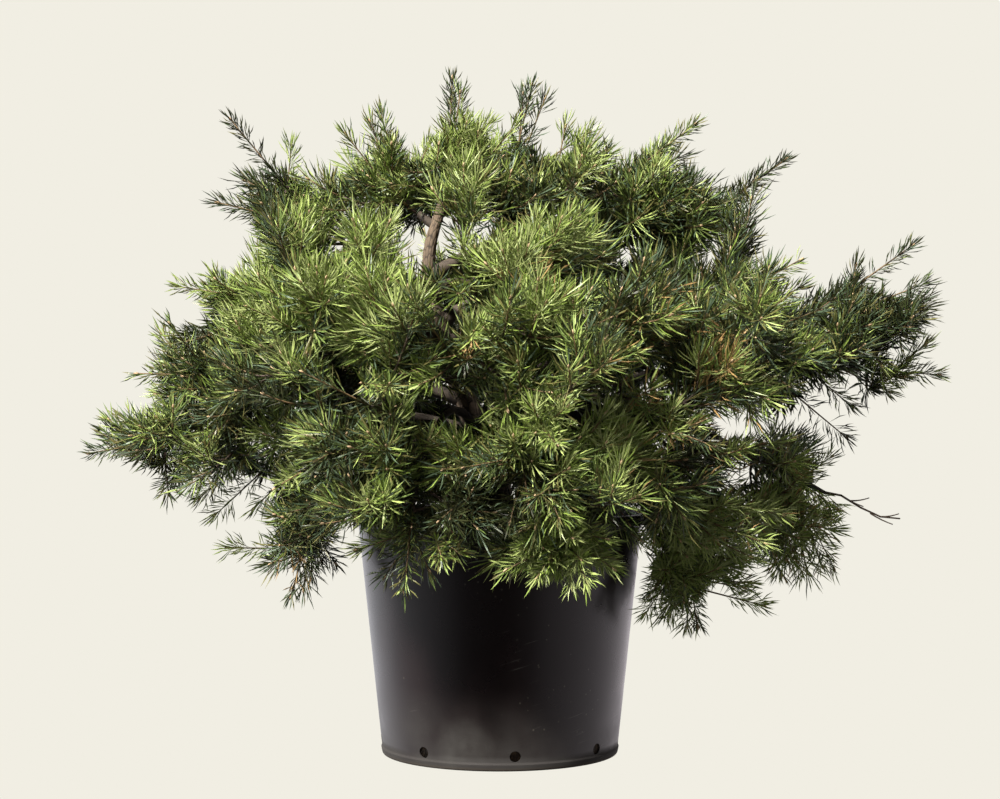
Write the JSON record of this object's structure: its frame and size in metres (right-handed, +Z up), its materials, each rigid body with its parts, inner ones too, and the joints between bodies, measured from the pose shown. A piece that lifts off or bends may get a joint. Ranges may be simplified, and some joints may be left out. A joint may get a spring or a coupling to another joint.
{
  "type": "potted repens scots pine",
  "caption": "Low, wide-spreading Scots pine of creeping habit with arching boughs and needled shoots, growing in a round black nursery pot",
  "frame": {"origin": "The centre of the pot's flat underside, on the surface it stands on.", "axes": "+Z up. The front, the side that the picture shows, faces -Y, and +X is to the viewer's right. The crown's longest way lies along X."},
  "size_m": [1.2, 0.9779, 0.955],
  "materials": {
    "pot": "semi-matt black moulded plastic, a little dusty near the foot",
    "compost": "moist dark bark and peat compost",
    "bark": "flaking grey-brown to orange pine bark",
    "needles": "stiff paired green needles, fresh yellow-green at the shoot tips and deep green inside"
  },
  "bodies": {
    "root": {"pot": "pot", "compost": "compost", "trunk": "bark", "bough_upper_left": "bark", "bough_left_shoulder": "bark", "bough_left_mid": "bark", "bough_left_low": "bark", "bough_left_bottom": "bark", "bough_upper_right": "bark", "bough_right_shoulder": "bark", "bough_right_upper": "bark", "bough_right_high": "bark", "bough_right_tip": "bark", "bough_right_low": "bark", "bough_right_hanging": "bark", "bough_left_front": "bark", "bough_front_left": "bark", "bough_front_centre": "bark", "bough_front_right": "bark", "bough_front_low": "bark", "bough_front_apron": "bark", "bough_front_apron_left": "bark", "bough_left_front_low": "bark", "bough_right_front": "bark", "bough_right_front_low": "bark", "bough_back_left": "bark", "bough_back_right": "bark", "bough_back_low_left": "bark", "bough_back_low_right": "bark", "needles_crown_top": "needles", "needles_upper_mid_left": "needles", "needles_upper_mid_right": "needles", "needles_upper_left": "needles", "needles_left_shoulder": "needles", "needles_left_mid": "needles", "needles_left_low": "needles", "needles_left_bottom": "needles", "needles_upper_right": "needles", "needles_right_shoulder": "needles", "needles_right_upper": "needles", "needles_right_high": "needles", "needles_right_tip": "needles", "needles_right_low": "needles", "needles_right_hanging": "needles", "needles_front_high": "needles", "needles_left_front": "needles", "needles_front_left": "needles", "needles_front_centre": "needles", "needles_front_right": "needles", "needles_front_low": "needles", "needles_front_apron": "needles", "needles_front_apron_left": "needles", "needles_left_front_low": "needles", "needles_right_front": "needles", "needles_right_front_low": "needles", "needles_back_high": "needles", "needles_back_left": "needles", "needles_back_right": "needles", "needles_back_low_left": "needles", "needles_back_low_right": "needles"}
  },
  "joints": []
}
